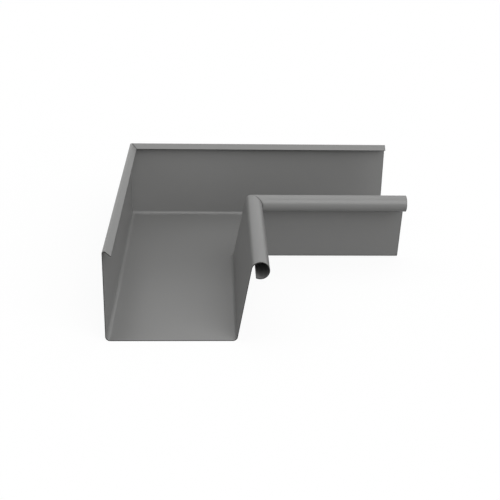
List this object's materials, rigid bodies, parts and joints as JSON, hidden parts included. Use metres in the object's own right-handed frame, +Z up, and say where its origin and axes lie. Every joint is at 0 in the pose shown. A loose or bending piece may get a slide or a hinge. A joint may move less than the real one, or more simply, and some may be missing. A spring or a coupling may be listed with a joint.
{
  "type": "internal gutter angle",
  "caption": "Inside corner for a box gutter, folded from one sheet: two mitred legs, high back walls with a water fold, low leaning front walls with an open rolled bead.",
  "frame": {"origin": "on the underside, where the middle lines of the two legs' bases cross", "axes": "+Z up, +X along the side leg and -Y along the front leg, both away from the corner"},
  "size_m": [0.3, 0.3, 0.09],
  "materials": {
    "grey_coating": "smooth satin grey coating"
  },
  "bodies": {
    "root": {"gutter_angle": "grey_coating"}
  },
  "joints": []
}
